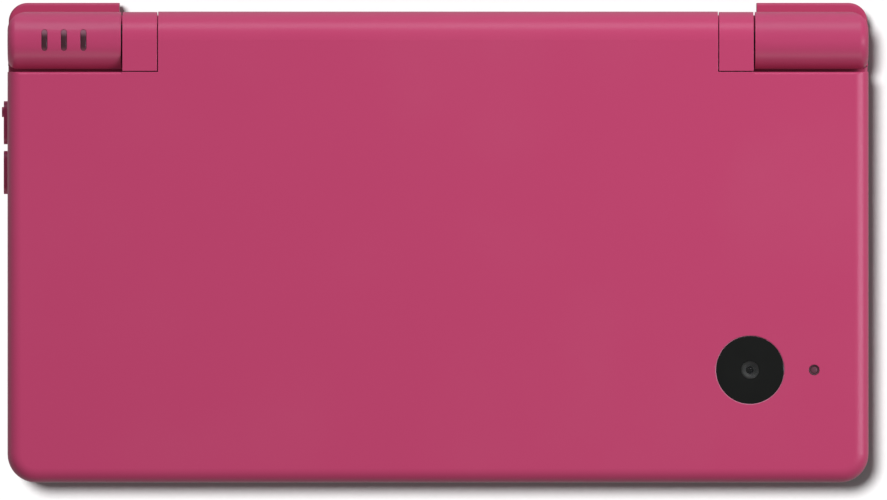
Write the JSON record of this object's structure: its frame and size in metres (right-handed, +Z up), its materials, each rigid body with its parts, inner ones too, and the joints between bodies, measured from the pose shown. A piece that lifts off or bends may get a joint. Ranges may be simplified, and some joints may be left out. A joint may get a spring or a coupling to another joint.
{
  "type": "clamshell handheld game console",
  "caption": "Folding handheld game console: a base with controls and touch screen, and a lid with a second screen on a barrel hinge.",
  "frame": {"origin": "centre of the closed console's bounding box, on the surface that its feet stand on", "axes": "+X to the right, +Y from the front edge to the hinge, +Z up out of the lid"},
  "size_m": [0.1381, 0.0764, 0.0189],
  "materials": {
    "case_plastic": "satin",
    "lid_plastic": "satin",
    "key_plastic": "satin",
    "battery_wrap": "matt film",
    "steel": "plain",
    "circuit_board": "solder resist",
    "black_plastic": "matt",
    "membrane_rubber": "matt",
    "foot_rubber": "matt",
    "bumper_rubber": "matt",
    "pale_plastic": "matt",
    "screen": "dark panel",
    "touch_glass": "clear",
    "black_window": "polished",
    "lens_glass": "coated",
    "light_lens": "smoked",
    "microphone_can": "plain",
    "ribbon_film": "film"
  },
  "bodies": {
    "base": {"base_lower_case": "case_plastic", "base_upper_case": "case_plastic", "battery_cover": "key_plastic", "battery_pack": "battery_wrap", "battery_cover_screws": "steel", "case_screws": "steel", "foot_pads": "foot_rubber", "main_board": "circuit_board", "wireless_module": "black_plastic", "card_socket": "black_plastic", "memory_card_socket": "steel", "lower_screen": "screen", "touch_panel": "touch_glass", "d_pad_membrane": "membrane_rubber", "face_button_membrane": "membrane_rubber", "menu_membrane": "membrane_rubber", "power_switch": "pale_plastic", "shoulder_pins": "steel", "shoulder_springs": "steel", "shoulder_switches": "black_plastic", "volume_switch_board": "circuit_board", "headphone_socket": "black_plastic", "charger_socket": "black_plastic", "status_lenses": "light_lens", "status_light_board": "circuit_board", "hinge_click_unit": "steel"},
    "lid": {"lid_outer_cover": "lid_plastic", "lid_inner_frame": "case_plastic", "upper_screen": "screen", "upper_screen_window": "black_window", "speakers": "black_plastic", "outer_camera_window": "black_window", "outer_camera_module": "black_plastic", "outer_camera_lens": "lens_glass", "recording_light": "light_lens", "inner_camera_window": "black_window", "inner_camera_module": "black_plastic", "microphone": "microphone_can", "lid_bumpers": "bumper_rubber", "lid_screws": "steel", "lid_board": "circuit_board", "lid_magnet": "steel", "hinge_click_shaft": "steel", "hinge_sleeve": "steel", "display_cable": "ribbon_film"},
    "d_pad_nub": {"d_pad_pivot": "pale_plastic"},
    "d_pad": {"d_pad": "key_plastic"},
    "button_top": {"button_top": "key_plastic"},
    "button_right": {"button_right": "key_plastic"},
    "button_bottom": {"button_bottom": "key_plastic"},
    "button_left": {"button_left": "key_plastic"},
    "start_button": {"start_button": "key_plastic"},
    "select_button": {"select_button": "key_plastic"},
    "power_button": {"power_button": "key_plastic"},
    "left_shoulder": {"left_shoulder_button": "key_plastic"},
    "right_shoulder": {"right_shoulder_button": "key_plastic"},
    "volume_up": {"volume_up_key": "key_plastic"},
    "volume_down": {"volume_down_key": "key_plastic"},
    "memory_cover": {"memory_card_cover": "key_plastic"},
    "stylus": {"stylus": "key_plastic"}
  },
  "joints": [
    {"name": "lid_hinge", "type": "hinge", "parent": "base", "child": "lid", "pos_m": [0, 0.03215, 0.0143], "axis": [-1, 0, 0], "range_deg": [0, 155]},
    {"name": "d_pad_rock_up_down", "type": "hinge", "parent": "base", "child": "d_pad_nub", "pos_m": [-0.0531, 0.004, 0.0081], "axis": [1, 0, 0], "range_deg": [-2.5, 2.5], "stiffness_Nm_per_rad": 0.05},
    {"name": "d_pad_rock_left_right", "type": "hinge", "parent": "d_pad_nub", "child": "d_pad", "pos_m": [-0.0531, 0.004, 0.0081], "axis": [0, 1, 0], "range_deg": [-2.5, 2.5], "stiffness_Nm_per_rad": 0.05},
    {"name": "button_top_press", "type": "slide", "parent": "base", "child": "button_top", "axis": [0, 0, -1], "range_m": [0, 0.0005], "stiffness_N_per_m": 600, "springref_m": -0.0005},
    {"name": "button_right_press", "type": "slide", "parent": "base", "child": "button_right", "axis": [0, 0, -1], "range_m": [0, 0.0005], "stiffness_N_per_m": 600, "springref_m": -0.0005},
    {"name": "button_bottom_press", "type": "slide", "parent": "base", "child": "button_bottom", "axis": [0, 0, -1], "range_m": [0, 0.0005], "stiffness_N_per_m": 600, "springref_m": -0.0005},
    {"name": "button_left_press", "type": "slide", "parent": "base", "child": "button_left", "axis": [0, 0, -1], "range_m": [0, 0.0005], "stiffness_N_per_m": 600, "springref_m": -0.0005},
    {"name": "start_press", "type": "slide", "parent": "base", "child": "start_button", "axis": [0, 0, -1], "range_m": [0, 0.0005], "stiffness_N_per_m": 600, "springref_m": -0.0005},
    {"name": "select_press", "type": "slide", "parent": "base", "child": "select_button", "axis": [0, 0, -1], "range_m": [0, 0.0005], "stiffness_N_per_m": 600, "springref_m": -0.0005},
    {"name": "power_press", "type": "slide", "parent": "base", "child": "power_button", "axis": [0, 0, -1], "range_m": [0, 0.0005], "stiffness_N_per_m": 600, "springref_m": -0.0005},
    {"name": "left_shoulder_press", "type": "hinge", "parent": "base", "child": "left_shoulder", "pos_m": [-0.05245, 0.0324, 0.0061], "axis": [0, 0, 1], "range_deg": [0, 3], "stiffness_Nm_per_rad": 0.1, "springref_deg": -5.73},
    {"name": "right_shoulder_press", "type": "hinge", "parent": "base", "child": "right_shoulder", "pos_m": [0.05245, 0.0324, 0.0061], "axis": [0, 0, -1], "range_deg": [0, 3], "stiffness_Nm_per_rad": 0.1, "springref_deg": -5.73},
    {"name": "volume_up_press", "type": "slide", "parent": "base", "child": "volume_up", "axis": [1, 0, 0], "range_m": [0, 0.0003], "stiffness_N_per_m": 800, "springref_m": -0.0004},
    {"name": "volume_down_press", "type": "slide", "parent": "base", "child": "volume_down", "axis": [1, 0, 0], "range_m": [0, 0.0003], "stiffness_N_per_m": 800, "springref_m": -0.0004},
    {"name": "memory_cover_swing", "type": "hinge", "parent": "base", "child": "memory_cover", "pos_m": [0.06755, -0.0024, 0.0047], "axis": [0, 0, -1], "range_deg": [0, 95]},
    {"name": "stylus_slide", "type": "slide", "parent": "base", "child": "stylus", "axis": [1, 0, 0], "range_m": [0, 0.092]}
  ]
}
